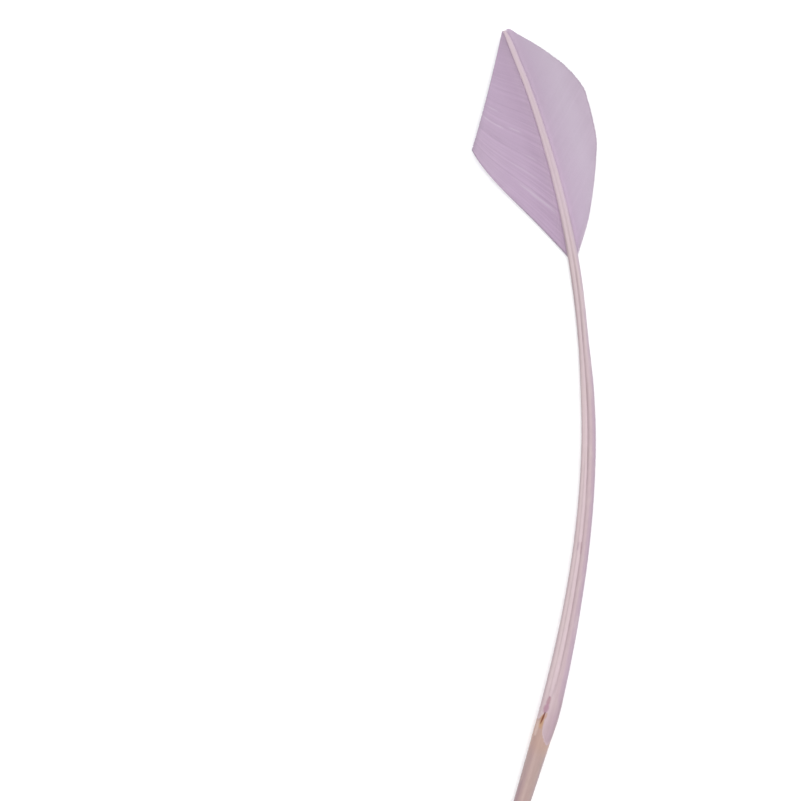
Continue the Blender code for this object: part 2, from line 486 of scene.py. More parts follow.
def step_over(tree, value, low, high):
    """0 below low, 1 above high, smooth between them. Low may be the larger of the two."""
    inputs = {"Value": value, "From Min": low, "From Max": high}
    made = node(tree, "ShaderNodeMapRange", inputs, interpolation_type="SMOOTHSTEP")
    return made.outputs["Result"]


def surfaced(tree, shader, colour, gloss, height, strength, distance):
    """Gives a shader its colour, its roughness and a bump from a height."""
    inputs = {"Height": height, "Strength": strength, "Distance": distance}
    bump = node(tree, "ShaderNodeBump", inputs)
    tree.links.new(colour, shader.inputs["Base Color"])
    tree.links.new(gloss, shader.inputs["Roughness"])
    tree.links.new(bump.outputs["Normal"], shader.inputs["Normal"])


def near_line(tree, spot, line, reaches, soft):
    """1 on a short line on the shaft, 0 away from it. The spot is across and along, in mm.

    Reaches are its half widths at the start and the end, and its belly's, in mm.
    """
    start, end = (1000 * Vector((*point, 0.0)) for point in line)
    run = end - start
    from_start = vectors(tree, "SUBTRACT", spot, start)
    along = vectors(tree, "DOT_PRODUCT", from_start, run / run.length_squared)
    part = maths(tree, "ADD", along, 0.0, clamp=True)
    off = vectors(tree, "SUBTRACT", from_start, scaled(tree, run, part))
    reach = linear(tree, part, reaches[1] - reaches[0], reaches[0])
    belly = product(tree, maths(tree, "SUBTRACT", 1.0, part), 4 * reaches[2], part)
    reach = maths(tree, "ADD", reach, belly)
    over = maths(tree, "SUBTRACT", vectors(tree, "LENGTH", off), reach)
    return step_over(tree, over, soft, -soft)


DYE_EDGE = (  # across from -1 to 1, and the place in mm where the dye ends
    (-1.0, -1.8), (-0.86, -1.6), (-0.66, -0.7), (-0.52, 0.3), (-0.46, 0.4), (-0.40, 0.2),
    (-0.34, -1.9), (-0.25, -4.0), (-0.12, -5.9), (0.15, -7.4), (0.40, -8.7), (0.69, -9.2),
    (0.89, -8.3), (1.0, -7.6),
)
# Marks on the upper side: across and place of both ends, across as at the umbilicus's width
SMUDGE = ((-0.00138, 0.0562), (-0.00162, 0.0542))
GROOVE_SMUDGE = ((-0.00033, 0.0564), (-0.00010, 0.0530))
MARK_TOP = ((-0.00118, 0.0058), (-0.00134, 0.0042))
HALO = ((-0.00176, -0.0005), (-0.00168, -0.0041))
CREAM = ((-0.00252, -0.0026), (-0.00262, -0.0068))
DOT = ((-0.00120, 0.0061), (-0.00123, 0.0058))
GOLD = ((-0.00080, 0.0006), (-0.00100, -0.0010))
DYE_EDGE_LOW = -12.0
DYE_EDGE_HIGH = 4.0
UMBILICUS_HALF_WIDTH = 3.35  # mm
UPPER_REACH_FROM = (96.0, 130.0)  # mm up the shaft, from none to full
VANES_FROM = (146.0, 172.0)
LOW_SHADE_BELOW = (16.0, -7.0)
PAINTED_RIM_SHADE_BELOW = (10.0, 3.0)
WARM_ABOVE = (-15.0, -9.0)


def horn_material():
    """Dyed and bare horn, painted by the place along, across and up on the shaft."""
    made, tree, shader = new_material(
        "stripped_horn", {"IOR": 1.54, "Specular IOR Level": 0.4}
    )
    across, up, place = (attribute(tree, name) for name in ("across", "up", "place_mm"))
    from_left = linear(tree, across, 0.5, 0.5)
    side = product(tree, across, UMBILICUS_HALF_WIDTH)
    streaks = grain(tree, (across, up, place), (5.0, 5.0, 0.06), detail=4.0)
    clouds = grain(tree, (across, up, place), (0.9, 0.9, 0.11))
    mottle = grain(tree, (side, up, place), (0.8, 2.0, 0.45), detail=4.0)
    fibres = grain(tree, (across, up, place), (22.0, 22.0, 0.25), detail=4.0)
    rough_edge = grain(tree, (side, up, place), (1.6, 3.0, 1.1), detail=5.0)

    # The rachis under the dye: three reaches one after another, the groove and the right rim.
    # In the first two ramps the rims are painted darker as shade. In the first, the ridge left
    # of the groove is painted lighter as a highlight, and the right side darker, partly the
    # deeper dye there and partly painted shade.
    dye_and_painted_shading = ramp(tree, from_left, (
        (0.00, 182, 160, 166), (0.05, 190, 169, 173), (0.12, 214, 192, 195),
        (0.40, 218, 195, 201), (0.66, 203, 178, 184), (0.80, 193, 167, 181),
        (1.00, 178, 156, 173),
    ))
    upper_reach = ramp(tree, from_left, (
        (0.00, 178, 160, 164), (0.10, 178, 157, 161), (0.20, 208, 188, 191),
        (0.40, 214, 193, 197), (0.66, 214, 193, 197), (0.86, 198, 177, 188),
        (1.00, 192, 174, 185),
    ))
    dye_and_painted_shading = blended(tree, step_over(tree, place, *UPPER_REACH_FROM), dye_and_painted_shading, upper_reach)
    between_vanes = ramp(tree, from_left, (
        (0.00, 218, 196, 206), (0.16, 211, 190, 198), (0.60, 210, 189, 198),
        (0.84, 211, 189, 202), (1.00, 222, 200, 214),
    ))
    dye_and_painted_shading = blended(tree, step_over(tree, place, *VANES_FROM), dye_and_painted_shading, between_vanes)
    cream = blended(tree, step_over(tree, clouds, 0.50, 0.72), dye_and_painted_shading, paint(212, 194, 192))
    dye_and_painted_shading = blended(tree, 0.40, dye_and_painted_shading, cream)
    # Darker from 16 mm above the umbilicus downwards, and more so towards the right, where it
    # is painted shade
    low = linear(tree, from_left, 0.45, 0.35)
    low = product(tree, step_over(tree, place, *LOW_SHADE_BELOW), low)
    dye_and_painted_shading = blended(tree, low, dye_and_painted_shading, paint(186, 158, 167))
    # Painted shade on the right rim, from 10 mm above the umbilicus down
    at_right = step_over(tree, across, 0.56, 0.92)
    painted_right_rim_shade = product(tree, at_right, step_over(tree, place, *PAINTED_RIM_SHADE_BELOW), 0.55)
    dye_and_painted_shading = blended(tree, painted_right_rim_shade, dye_and_painted_shading, paint(160, 136, 143))
    # Painted shade in the groove and the crease
    groove = maths(tree, "MULTIPLY", attribute(tree, "painted_groove_shade"), 0.62, clamp=True)
    dye_and_painted_shading = blended(tree, groove, dye_and_painted_shading, paint(172, 148, 153))

    # The bare calamus, warmer near the dye. Its ramp paints the rims darker as shade, and a
    # lighter stripe just left of the middle as a highlight.
    tan_and_painted_shading = ramp(tree, from_left, (
        (0.00, 166, 142, 146), (0.10, 165, 136, 140), (0.22, 177, 148, 147),
        (0.43, 194, 166, 160), (0.60, 184, 155, 150), (0.80, 181, 154, 149),
        (1.00, 170, 147, 149),
    ))
    tan_clouds = product(tree, step_over(tree, clouds, 0.45, 0.70), 0.5)
    tan_and_painted_shading = blended(tree, tan_clouds, tan_and_painted_shading, paint(184, 160, 150))
    warm = product(tree, step_over(tree, place, *WARM_ABOVE), 0.6)
    tan_and_painted_shading = blended(tree, warm, tan_and_painted_shading, paint(194, 158, 142))

    # The dye's edge: a curve over the upper side, straight round the under side, and torn
    edge = node(tree, "ShaderNodeFloatCurve", {"Factor": 1.0, "Value": from_left})
    curve = edge.mapping.curves[0]
    span = DYE_EDGE_HIGH - DYE_EDGE_LOW
    while len(curve.points) < len(DYE_EDGE):
        curve.points.new(0.5, 0.5)
    for point, (where, ends) in zip(curve.points, DYE_EDGE):
        point.location = (0.5 + 0.5 * where, (ends - DYE_EDGE_LOW) / span)
        point.handle_type = "AUTO"
    edge.mapping.update()
    top_edge = linear(tree, edge.outputs[0], span, DYE_EDGE_LOW)
    over = step_over(tree, up, -0.1, 0.1)
    under_edge = product(tree, maths(tree, "SUBTRACT", 1.0, over), DYE_EDGE[0][1])
    dye_ends = maths(tree, "ADD", product(tree, over, top_edge), under_edge)
    wander = linear(tree, rough_edge, 1.6, -0.8)
    past = maths(tree, "ADD", maths(tree, "SUBTRACT", place, dye_ends), wander)
    colour = blended(tree, step_over(tree, past, -0.35, 0.35), tan_and_painted_shading, dye_and_painted_shading)
    tide = step_over(tree, past, -0.1, 0.3)
    tide = product(tree, tide, step_over(tree, past, 1.0, 0.4), 0.35)
    colour = blended(tree, tide, colour, paint(220, 194, 195))
    tone = linear(tree, streaks, 0.18, 0.83)
    tone = linear(tree, mottle, 0.16, tone)
    colour = scaled(tree, colour, tone)

    # The marks on the upper side, with torn outlines, apart from the slit's
    upper = step_over(tree, up, 0.1, 0.4)
    torn = linear(tree, rough_edge, 1.2, -0.6)
    for line, reaches, soft, strength, stain in (
        (SMUDGE, (0.30, 0.30, 0.08), 0.40, 0.65, (182, 156, 168)),
        (GROOVE_SMUDGE, (0.26, 0.20, 0.06), 0.25, 0.75, (182, 152, 159)),
        (CREAM, (0.30, 0.26, 0.10), 0.45, 0.80, (216, 188, 178)),
        (MARK_TOP, (0.40, 0.58, 0.06), 0.34, 0.90, (178, 138, 149)),
        (MARK, (0.50, 0.48, 0.34), 0.45, 0.90, (178, 134, 153)),
        (DOT, (0.14, 0.10, 0.00), 0.25, 0.65, (150, 110, 128)),
        (GOLD, (0.18, 0.12, 0.06), 0.30, 0.85, (200, 152, 118)),
        (HALO, (0.40, 0.38, 0.22), 0.50, 0.90, (194, 150, 112)),
        (SLIT, (0.10, 0.06, 0.20), 0.20, 1.00, (138, 68, 40)),
    ):
        tear = 0.0 if line is SLIT else soft
        torn_side = linear(tree, torn, tear, side)
        torn_place = linear(tree, torn, -2.0 * tear, place)
        spot = joined(tree, torn_side, torn_place)
        mask = near_line(tree, spot, line, reaches, soft)
        colour = blended(tree, product(tree, mask, upper, strength), colour, paint(*stain))
    gloss = linear(tree, streaks, 0.22, 0.34)
    surfaced(tree, shader, colour, gloss, fibres, 0.35, 0.00006)
    return made


def finished(name, mesh, slot, *nodes):
    """Puts a piece in the scene, riding on the feather's one body."""
    piece = in_scene(name, mesh)
    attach(piece, "root")
    if nodes:
        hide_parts(*nodes)
    return piece


quill_mesh = shaft_mesh()
horn = horn_material()
quill_mesh.materials.append(horn)
finished("quill_shaft", quill_mesh, "horn", "shaft")


# Stubs. Where the barbs were stripped from the shaft below the vanes, each left a short
# slanted stump of horn, a few tenths of a millimetre long. They stand in a row along the
# shallow channel on both of its sides, and are of one growth with it.
STUBS = 330  # a side
STUB_SPAN = (0.0045, 0.1480)
STUB_LENGTH = 0.00042
STUB_REACH = 0.000065
STUB_RISE = 0.5  # of its length
STUB_ENDS = 0.35  # their share of its full thickness
STUB_TAPER = 0.3
STUB_SINK = 0.00008
STUB_RINGS = 5
STUB_POINTS = 6
STUB_GUIDE_STEPS = 120
STUB_CHART = (22.0, 30.0)  # cells across and up, for both of the sides
UPWARDS = (0.0, 0.0, 1.0)


def root_point(side, place, sink):
    """Point this deep in the shaft's left (-1) or right (1) side, at the barbs' height."""
    width, height, stray = shaft_size(place)
    spot, across = axis_point(place)
    spot = spot + (stray + side * (width / 2 - sink)) * across
    return (spot.x, spot.y, floor_height(place) + BARB_ROOT_HEIGHT * height)


def guide(name, points):
    """A bare line that a tree of nodes follows. It is taken away once the tree has run."""
    line = bpy.data.curves.new(name, "CURVE")
    line.dimensions = "3D"
    spline = line.splines.new("POLY")
    spline.points.add(len(points) - 1)
    for spot, point in zip(spline.points, points):
        spot.co = (*point, 1.0)
    return in_scene(name, line)


def new_tree(name, inputs, outputs):
    """A tree of geometry nodes, with the sockets of its inputs by name, and its output."""
    tree = bpy.data.node_groups.new(name, "GeometryNodeTree")
    for way, sockets in (("INPUT", inputs), ("OUTPUT", outputs)):
        for label, kind in sockets.items():
            tree.interface.new_socket(label, in_out=way, socket_type=f"NodeSocket{kind}")
    given = tree.nodes.new("NodeGroupInput").outputs
    return tree, given, tree.nodes.new("NodeGroupOutput")


def grown(name, seed_mesh, tree, values):
    """Runs a tree on a mesh, with its inputs by name, and gives the result as a mesh."""
    holder = in_scene(name, seed_mesh)
    modifier = holder.modifiers.new("growth", "NODES")
    modifier.node_group = tree
    for item in tree.interface.items_tree:
        if item.in_out == "INPUT" and item.name in values:
            modifier[item.identifier] = values[item.name]
    holder.update_tag()
    depsgraph = bpy.context.evaluated_depsgraph_get()
    mesh = bpy.data.meshes.new_from_object(
        holder.evaluated_get(depsgraph), preserve_all_data_layers=True, depsgraph=depsgraph
    )
    mesh.name = name
    holder.modifiers.remove(modifier)
    bpy.data.objects.remove(holder)
    mesh.set_sharp_from_angle(angle=SHARP_ANGLE)
    return mesh


def stored(tree, mesh, name, value, kind="FLOAT", domain="POINT"):
    """The mesh with a named value on its points or corners."""
    inputs = {"Geometry": mesh, "Name": name, "Value": value}
    made = node(
        tree, "GeometryNodeStoreNamedAttribute", inputs, data_type=kind, domain=domain
    )
    return made.outputs[0]


def named(tree, name, kind="FLOAT"):
    made = node(tree, "GeometryNodeInputNamedAttribute", {"Name": name}, data_type=kind)
    return made.outputs[0]


def numbered_copies(tree, template, count):
    """This many copies of a mesh, the number that each carries, and its own coordinates."""
    index = tree.nodes.new("GeometryNodeInputIndex").outputs[0]
    points = node(tree, "GeometryNodePoints", {"Count": count}).outputs[0]
    inputs = {"Points": stored(tree, points, "number", index), "Instance": template}
    copies = node(tree, "GeometryNodeInstanceOnPoints", inputs).outputs[0]
    mesh = node(tree, "GeometryNodeRealizeInstances", {0: copies}).outputs[0]
    position = tree.nodes.new("GeometryNodeInputPosition").outputs[0]
    own = node(tree, "ShaderNodeSeparateXYZ", {0: position}).outputs
    return mesh, named(tree, "number"), own


def chance(tree, number, seed, offset):
    """A copy's own random value from 0 to 1."""
    inputs = {"ID": number, "Seed": maths(tree, "ADD", seed, offset)}
    return node(tree, "FunctionNodeRandomValue", inputs, data_type="FLOAT").outputs[1]


def guide_line(tree, guide_object):
    made = node(
        tree, "GeometryNodeObjectInfo", {"Object": guide_object}, transform_space="ORIGINAL"
    )
    return made.outputs["Geometry"]


def followed(tree, line, share):
    """The point of a line at a share of its length, and the line's direction there."""
    inputs = {"Curves": line, "Factor": share}
    made = node(tree, "GeometryNodeSampleCurve", inputs, mode="FACTOR", use_all_curves=True)
    return made.outputs["Position"], made.outputs["Tangent"]


def put_in_place(tree, mesh, place, material, result):
    """Ends a tree: each point goes to its place, and the mesh takes its material."""
    moved = node(tree, "GeometryNodeSetPosition", {"Geometry": mesh, "Position": place})
    inputs = {"Geometry": moved.outputs[0], "Material": material}
    dressed = node(tree, "GeometryNodeSetMaterial", inputs)
    tree.links.new(dressed.outputs[0], result.inputs[0])


def straight_stub():
    """One stub: along +X, out of the shaft's side along +Y, and up along +Z."""
    points = []
    for ring in range(STUB_RINGS + 1):
        part = ring / STUB_RINGS
        belly = STUB_ENDS + (1 - STUB_ENDS) * sin(pi * part) ** 0.5
        reach = STUB_REACH * belly * (1 - STUB_TAPER * part)
        for index in range(STUB_POINTS):
            angle = 2 * pi * index / STUB_POINTS
            rise = STUB_RISE * STUB_LENGTH * part + reach * sin(angle)
            points.append((STUB_LENGTH * part, reach * cos(angle), rise))
    chart = [(0.05, 0.05)] * STUB_POINTS
    for ring in range(STUB_RINGS):
        under, over = (0.06 + 0.88 * step / STUB_RINGS for step in (ring, ring + 1))
        for index in range(STUB_POINTS):
            left, right = (0.06 + 0.88 * step / STUB_POINTS for step in (index, index + 1))
            chart += [(right, under), (left, under), (left, over), (right, over)]
    chart += [(0.95, 0.95)] * STUB_POINTS
    mesh = bpy.data.meshes.new("straight_stub")
    mesh.from_pydata(points, [], closed_skin(STUB_RINGS + 1, STUB_POINTS))
    cells = mesh.attributes.new("cell", "FLOAT_VECTOR", "CORNER")
    cells.data.foreach_set("vector", [value for spot in chart for value in (*spot, 0.0)])
    mesh.shade_smooth()
    return mesh


def stub_tree():
    """Nodes that repeat the stub along a row on one side of the shaft."""
    tree, given, result = new_tree(
        "stubs_along_shaft",
        {
            "Straight Stub": "Geometry", "Row": "Object", "Stubs": "Int", "Side": "Float",
            "Uneven": "Float", "Seed": "Int", "Chart Cells": "Vector", "Material": "Material",
        },
        {"Stubs": "Geometry"},
    )
    stubs, number, own = numbered_copies(tree, given["Straight Stub"], given["Stubs"])
    uneven = []
    for offset in range(2):
        off = maths(tree, "SUBTRACT", chance(tree, number, given["Seed"], offset), 0.5)
        uneven.append(product(tree, off, given["Uneven"]))
    share = maths(tree, "ADD", maths(tree, "ADD", number, 0.5), uneven[0])
    share = maths(tree, "DIVIDE", share, given["Stubs"], clamp=True)
    place, along = followed(tree, guide_line(tree, given["Row"]), share)
    outward = vectors(tree, "CROSS_PRODUCT", along, UPWARDS)
    size = maths(tree, "ADD", uneven[1], 1.0)
    for axis, direction, flip in (
        ("X", along, 1.0), ("Y", outward, given["Side"]), ("Z", UPWARDS, 1.0),
    ):
        step = scaled(tree, direction, product(tree, own[axis], size, flip))
        place = vectors(tree, "ADD", place, step)

    # Each stub has a cell of its own on the flat chart
    cells = node(tree, "ShaderNodeSeparateXYZ", {0: given["Chart Cells"]}).outputs
    column = maths(tree, "MODULO", number, cells["X"])
    line = maths(tree, "FLOOR", maths(tree, "DIVIDE", number, cells["X"]))
    line = maths(tree, "ADD", line, cells["Z"])
    cell = named(tree, "cell", "FLOAT_VECTOR")
    cell = vectors(tree, "ADD", cell, joined(tree, column, line))
    chart = vectors(tree, "DIVIDE", cell, given["Chart Cells"])
    stubs = stored(tree, stubs, "OFBake", chart, "FLOAT2", "CORNER")
    mirrored = maths(tree, "LESS_THAN", given["Side"], 0.0)
    turned = node(tree, "GeometryNodeFlipFaces", {"Mesh": stubs, "Selection": mirrored})
    put_in_place(tree, turned.outputs[0], place, given["Material"], result)
    return tree


stub_horn, stub_nodes, stub_shader = new_material(
    "stub_horn", {"Roughness": 0.55, "IOR": 1.54}
)
stub_colour = blended(
    stub_nodes, speckle(stub_nodes, 6000.0), paint(186, 162, 170), paint(206, 186, 190)
)
stub_nodes.links.new(stub_colour, stub_shader.inputs["Base Color"])
stubs_along_shaft = stub_tree()
for name, side, first_line, seed in (("left_stubs", -1, 0, 5), ("right_stubs", 1, 15, 8)):
    places = evenly(*STUB_SPAN, STUB_GUIDE_STEPS)
    row = guide(f"{name}_row", [root_point(side, place, STUB_SINK) for place in places])
    stubs_mesh = grown(
        name,
        straight_stub(),
        stubs_along_shaft,
        {
            "Row": row, "Stubs": STUBS, "Side": float(side), "Uneven": 0.6, "Seed": seed,
            "Chart Cells": (*STUB_CHART, float(first_line)), "Material": stub_horn,
        },
    )
    bpy.data.objects.remove(row)
    finished(name, stubs_mesh, "horn")


# Barbs. Each vane is a sheet of them. A barb has a blade-like spine and a thin web on both
# sides that laps the next one's. One straight barb is made, and a tree of nodes repeats it
# up the shaft and bends each copy, from its root to the edge where the vane was trimmed.
BARB_STEPS = 22
BARB_PROFILE = (  # across, as a share of half the spacing, height, and 1 for the under side
    (-1.00, 0.000000, 0), (-0.62, 0.000020, 0), (-0.34, 0.000028, 0), (-0.14, 0.000090, 0),
    (0.14, 0.000090, 0), (0.34, 0.000028, 0), (0.62, 0.000020, 0), (1.00, 0.000000, 0),
    (1.00, -0.000040, 1), (0.30, -0.000050, 1), (0.00, -0.000110, 1), (-0.30, -0.000050, 1),
    (-1.00, -0.000040, 1),
)
RACHIS_ARC = arc_middle(RACHIS_RADIUS)
ROOT_SINK = 0.00012  # how far a barb's root goes into the shaft's side
GUIDE_STEPS = 90
STREAK_COLOUR = paint(214, 198, 214)
STREAK_REACH = 0.006  # share of a vane
STREAK_FADE = 0.05  # part of a barb
# Painted light beside the shaft, against the shade of its side: where it reaches
PAINTED_ROOT_LIGHT_BELOW = (5.0, 1.0)  # mm from the shaft's middle
PAINTED_SHAFT_LIGHT_REACH = 1.4  # mm from its side
TIP_FALL_FROM = 0.84  # share of a vane
CUT_ENDS_FROM = (0.955, 0.995)  # part of a barb
PAINTED_LOW_EDGE_UP_TO = (0.85, 0.45)
RIPPLES = ((0.0, 1.0), (7.3, 7.0), (15.1, 4.0))  # offset and fineness: lift, tint, tips
OWN_TIP = 0.4  # each barb's own chance, beside the ripple that it shares
OWN_TINT = 0.35
HALF_WIDTHS = (1.7, 0.9)  # the shaft's at the lowest and the highest barb, in mm
LEVEL = (1.0, 1.0, 0.0)  # takes the height out of a point
BOTH_VANES = {
    "Barbs": 168, "Cup": 4.8, "Lap": 1.16, "Web Tilt": 0.00002, "Thin Tip": -0.5,
    "Full Spacing": 0.00045,
}
BARB_SHAPE = {
    "Tip Spread": "Float", "Bow": "Float", "Lean": "Float", "Cup": "Float",
    "Rachis Middle": "Vector", "Rachis Radius": "Float",
}


def straight_barb():
    """One barb, 1 long up +Z and 2 across along X, its heights in metres along Y."""
    points = [
        (across, height, step / BARB_STEPS)
        for step in range(BARB_STEPS + 1)
        for across, height, _ in BARB_PROFILE
    ]
    around = zip(BARB_PROFILE, BARB_PROFILE[1:] + BARB_PROFILE[:1])
    ring_under = [float(row[2] or following[2]) for row, following in around]
    mesh = bpy.data.meshes.new("straight_barb")
    mesh.from_pydata(points, [], closed_skin(BARB_STEPS + 1, len(BARB_PROFILE)))
    under = [0.0, *ring_under * BARB_STEPS, 0.0]
    mesh.attributes.new("under", "FLOAT", "FACE").data.foreach_set("value", under)
    mesh.shade_smooth()
    return mesh


def bowed(start, end, bow, part):
    """Point on a line from start to end that stands out by bow to its left."""
    chord = end - start
    outward = Vector((-chord.y, chord.x)).normalized()
    return start.lerp(end, part) + 4 * bow * part * (1 - part) * outward


def edge_point(corners, bows, share):
    """Point at a share of the length of a vane's outer edge."""
    points = [UMBILICUS + Vector(corner) for corner in corners]
    lengths = [(after - before).length for before, after in zip(points, points[1:])]
    left = share * sum(lengths)
    run = 0
    while run < len(lengths) - 1 and left > lengths[run]:
        left -= lengths[run]
        run += 1
    return bowed(points[run], points[run + 1], bows[run], min(1.0, left / lengths[run]))


def barb_line():
    """Nodes for the point a part of the way along the barb at a share of its vane."""
    tree, given, result = new_tree(
        "barb_line",
        {
            "Root Line": "Geometry", "Trimmed Edge": "Geometry", "Share": "Float",
            "Part": "Float", **BARB_SHAPE,
        },
        {"Point": "Vector", "Out": "Float"},
    )
    part = given["Part"]
    share = maths(tree, "ADD", given["Share"], 0.0, clamp=True)
    tip_share = maths(tree, "POWER", share, given["Tip Spread"])
    root = followed(tree, given["Root Line"], share)[0]
    tip = followed(tree, given["Trimmed Edge"], tip_share)[0]
    chord = vectors(tree, "MULTIPLY", vectors(tree, "SUBTRACT", tip, root), LEVEL)
    left = vectors(tree, "NORMALIZE", vectors(tree, "CROSS_PRODUCT", UPWARDS, chord))
    bow = product(tree, given["Bow"], maths(tree, "SUBTRACT", 1.0, share))
    bow = product(tree, bow, maths(tree, "POWER", part, given["Lean"]))
    bow = product(tree, bow, maths(tree, "SUBTRACT", 1.0, part))
    between = node(
        tree, "ShaderNodeMix", {"Factor": part, 4: root, 5: tip}, data_type="VECTOR"
    )
    spot = vectors(tree, "ADD", between.outputs[1], scaled(tree, left, bow))
    spot = vectors(tree, "MULTIPLY", spot, LEVEL)
    from_middle = vectors(tree, "DISTANCE", spot, given["Rachis Middle"])
    out = maths(tree, "SUBTRACT", from_middle, given["Rachis Radius"])
    out = maths(tree, "ABSOLUTE", out)
    root_height = node(tree, "ShaderNodeSeparateXYZ", {0: root}).outputs["Z"]
    height = maths(tree, "ADD", product(tree, out, out, given["Cup"]), root_height)
    point = vectors(tree, "ADD", spot, joined(tree, 0.0, 0.0, height))
    tree.links.new(point, result.inputs["Point"])
    tree.links.new(out, result.inputs["Out"])
    return tree


def vane_tree():
    """Nodes that repeat one straight barb up the shaft and bend every copy into place."""
    tree, given, result = new_tree(
        "barbs_along_shaft",
        {
            "Straight Barb": "Geometry", "Root Line": "Object", "Trimmed Edge": "Object",
            "Barbs": "Int", **BARB_SHAPE, "Side": "Float", "Lap": "Float",
            "Web Tilt": "Float", "Thin Tip": "Float", "Full Spacing": "Float",
            "Ripple": "Float", "Ripple Scale": "Float", "Loose": "Float",
            "Ragged": "Float", "Seed": "Int", "Material": "Material",
        },
        {"Barbs": "Geometry"},
    )
    barbs, number, own = numbered_copies(tree, given["Straight Barb"], given["Barbs"])
    across, height, part = own
    last = maths(tree, "SUBTRACT", given["Barbs"], 1.0)
    share = maths(tree, "DIVIDE", number, last)

    # Chance: each barb's own, and slow ripples that neighbours share
    chances = [chance(tree, number, given["Seed"], offset) for offset in range(3)]
    ripples = []
    for offset, finer in RIPPLES:
        along = product(tree, maths(tree, "ADD", share, offset), finer)
        along = maths(tree, "ADD", along, given["Seed"])
        inputs = {"W": along, "Scale": given["Ripple Scale"], "Detail": 3.0}
        ripple = node(tree, "ShaderNodeTexNoise", inputs, noise_dimensions="1D")
        ripples.append(maths(tree, "SUBTRACT", ripple.outputs["Fac"], 0.5))

    # Where the barb runs, and where its neighbours run at the same part of their length
    ragged = linear(tree, chances[0], OWN_TIP, ripples[2])
    ragged = product(tree, ragged, given["Ragged"])
    line_inputs = {name: given[name] for name in BARB_SHAPE}
    line_inputs["Part"] = product(tree, part, maths(tree, "SUBTRACT", 1.0, ragged))
    for name in ("Root Line", "Trimmed Edge"):
        line_inputs[name] = guide_line(tree, given[name])
    line_tree = barb_line()
    half_step = maths(tree, "DIVIDE", 0.5, last)
    runs = []
    for shift in (0.0, -1.0, 1.0):
        line_inputs["Share"] = linear(tree, half_step, shift, share)
        run = node(tree, "GeometryNodeGroup", line_inputs, node_tree=line_tree)
        runs.append(run.outputs)
    spacing = vectors(tree, "SUBTRACT", runs[2]["Point"], runs[1]["Point"])

    # The straight barb's own coordinates become steps sideways, up and along
    way = product(tree, across, 0.5, given["Lap"], given["Side"])
    thinner = linear(tree, part, given["Thin Tip"], 1.0)
    room = vectors(tree, "LENGTH", spacing)
    room = maths(tree, "DIVIDE", room, given["Full Spacing"], clamp=True)
    lift = product(tree, height, thinner, room)
    lift = maths(tree, "ADD", lift, product(tree, across, given["Web Tilt"]))
    wave = product(tree, ripples[0], given["Ripple"], product(tree, part, part))
    loose = maths(tree, "SUBTRACT", chances[1], 0.5)
    loose = product(tree, loose, given["Loose"], part)
    lift = maths(tree, "ADD", lift, maths(tree, "ADD", wave, loose))
    place = vectors(tree, "ADD", runs[0]["Point"], scaled(tree, spacing, way))
    place = vectors(tree, "ADD", place, joined(tree, 0.0, 0.0, lift))

    # A flat chart, with the vane's top side over its under side, and what the paint follows
    column = maths(tree, "ADD", number, linear(tree, across, 0.48, 0.5))
    column = maths(tree, "DIVIDE", column, given["Barbs"])
    line = linear(tree, part, 0.48, 0.01)
    line = linear(tree, named(tree, "under"), 0.5, line)
    chart = joined(tree, column, line)
    barbs = stored(tree, barbs, "OFBake", chart, "FLOAT2", "CORNER")
    for name, value in (
        ("tint", linear(tree, chances[2], OWN_TINT, ripples[1])),
        ("out_mm", product(tree, runs[0]["Out"], 1000.0)),
        ("along", part),
        ("share", share),
    ):
        barbs = stored(tree, barbs, name, value)
    put_in_place(tree, barbs, place, given["Material"], result)
    return tree


def vane(name, side, edge, edge_bows, values):
    """The barbs of one vane as a mesh, between the shaft's side and the trimmed edge."""
    places = evenly(VANE_BASE, VANE_TOP, GUIDE_STEPS)
    root_line = guide(f"{name}_roots", [root_point(side, place, ROOT_SINK) for place in places])
    bows = [-side * bow for bow in edge_bows]
    cuts = [edge_point(edge, bows, share) for share in evenly(0.0, 1.0, GUIDE_STEPS)]
    trimmed = guide(f"{name}_edge", [(*cut, 0.0) for cut in cuts])
    lean = values["Lean"]
    crown = lean**lean / (lean + 1) ** (lean + 1)
    shaped = {
        **values,
        "Bow": -side * values["Bow"] / crown,
        "Root Line": root_line,
        "Trimmed Edge": trimmed,
        "Rachis Middle": (*RACHIS_ARC, 0.0),
        "Rachis Radius": RACHIS_RADIUS,
        "Side": float(side),
    }
    mesh = grown(name, straight_barb(), vane_tree(), shaped)
    bpy.data.objects.remove(root_line)
    bpy.data.objects.remove(trimmed)
    return mesh


